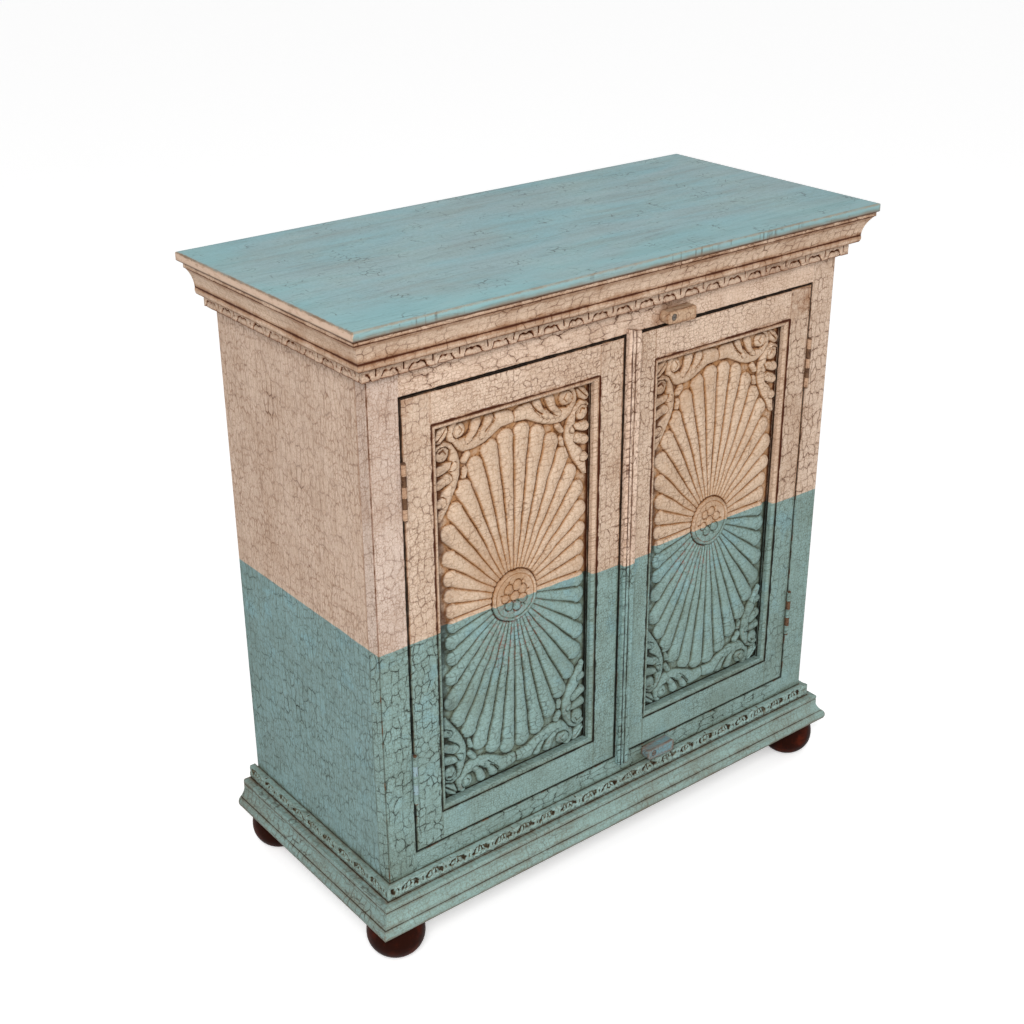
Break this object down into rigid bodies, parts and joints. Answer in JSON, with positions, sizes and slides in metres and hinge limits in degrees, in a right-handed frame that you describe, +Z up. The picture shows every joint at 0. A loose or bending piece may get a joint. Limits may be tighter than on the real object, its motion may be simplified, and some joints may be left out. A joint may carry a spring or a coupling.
{
  "type": "two-door cabinet",
  "caption": "Low floor-standing cabinet on bun feet, with carved sunburst door panels, butt hinges, a cover strip and wooden turn-buttons.",
  "frame": {"origin": "on the floor, under the middle of the top board", "axes": "+Z up, +X to the right seen from the front, +Y from the doors to the back"},
  "size_m": [0.914, 0.427, 0.948],
  "materials": {
    "top_paint": "worn turquoise paint over wood, low sheen",
    "cream_paint": "crackled cream paint with brown grime",
    "teal_paint": "crackled dusty teal paint with brown grime",
    "side_paint": "cream paint above, teal paint below",
    "upright_paint": "cream paint above, teal paint below",
    "cream_rail_paint": "crackled cream paint",
    "teal_rail_paint": "crackled teal paint",
    "carving_paint": "carved wood, cream paint above, teal paint below",
    "bead_paint": "worn paint with bare wood at the edges",
    "strip_paint": "cream paint above, teal paint below, worn corner",
    "top_button_paint": "worn cream paint",
    "bottom_button_paint": "worn blue paint",
    "back_wood": "bare brown wood",
    "inner_wood": "bare brown wood",
    "block_wood": "bare brown wood",
    "foot_stain": "very dark red-brown polish",
    "hinge_paint": "painted over with the frame, chipped",
    "hinge_metal": "dark brown patina",
    "screw_steel": "dull",
    "button_screw_metal": "dull, dark",
    "bolt_steel": "plain"
  },
  "bodies": {
    "carcass": {"top_board": "top_paint", "cornice_front": "cream_paint", "cornice_left": "cream_paint", "cornice_right": "cream_paint", "frieze_front": "cream_paint", "frieze_left": "cream_paint", "frieze_right": "cream_paint", "base_band_front": "teal_paint", "base_band_left": "teal_paint", "base_band_right": "teal_paint", "plinth_moulding_front": "teal_paint", "plinth_moulding_left": "teal_paint", "plinth_moulding_right": "teal_paint", "side_board_left": "side_paint", "side_board_right": "side_paint", "face_stile_left": "upright_paint", "face_stile_right": "upright_paint", "face_rail_upper": "cream_rail_paint", "face_rail_lower": "teal_rail_paint", "back_panel": "back_wood", "bottom_board": "inner_wood", "shelf": "inner_wood", "back_rail_upper": "block_wood", "back_rail_lower": "block_wood", "shelf_cleats": "block_wood", "top_glue_blocks": "block_wood", "foot_blocks": "block_wood", "door_stops": "block_wood", "foot_bolts": "bolt_steel", "foot_front_left": "foot_stain", "foot_front_right": "foot_stain", "foot_back_left": "foot_stain", "foot_back_right": "foot_stain", "hinge_frame_leaves": "hinge_paint", "hinge_pins": "hinge_metal", "hinge_frame_screws": "screw_steel", "button_screws": "button_screw_metal", "button_washers": "button_screw_metal"},
    "left_door": {"left_hinge_stile": "upright_paint", "left_meeting_stile": "upright_paint", "left_door_rail_upper": "cream_rail_paint", "left_door_rail_lower": "teal_rail_paint", "left_carved_panel": "carving_paint", "left_panel_beads": "bead_paint", "left_door_pegs": "block_wood", "left_hinge_door_leaves": "hinge_metal", "left_hinge_door_screws": "screw_steel"},
    "right_door": {"right_hinge_stile": "upright_paint", "right_meeting_stile": "upright_paint", "right_door_rail_upper": "cream_rail_paint", "right_door_rail_lower": "teal_rail_paint", "right_carved_panel": "carving_paint", "right_panel_beads": "bead_paint", "right_door_pegs": "block_wood", "right_hinge_door_leaves": "hinge_metal", "right_hinge_door_screws": "screw_steel", "cover_strip": "strip_paint"},
    "top_turn_button": {"top_turn_button": "top_button_paint"},
    "bottom_turn_button": {"bottom_turn_button": "bottom_button_paint"}
  },
  "joints": [
    {"name": "left_door_hinge", "type": "hinge", "parent": "carcass", "child": "left_door", "pos_m": [-0.369, -0.1761, 0.4955], "axis": [0, 0, -1], "range_deg": [0, 180]},
    {"name": "right_door_hinge", "type": "hinge", "parent": "carcass", "child": "right_door", "pos_m": [0.369, -0.1761, 0.4955], "axis": [0, 0, 1], "range_deg": [0, 180]},
    {"name": "top_button_pivot", "type": "hinge", "parent": "carcass", "child": "top_turn_button", "pos_m": [0.072, -0.1817, 0.8492], "axis": [0, 1, 0], "range_deg": [0, 180]},
    {"name": "bottom_button_pivot", "type": "hinge", "parent": "carcass", "child": "bottom_turn_button", "pos_m": [0.067, -0.1817, 0.145], "axis": [0, -1, 0], "range_deg": [0, 180]}
  ]
}
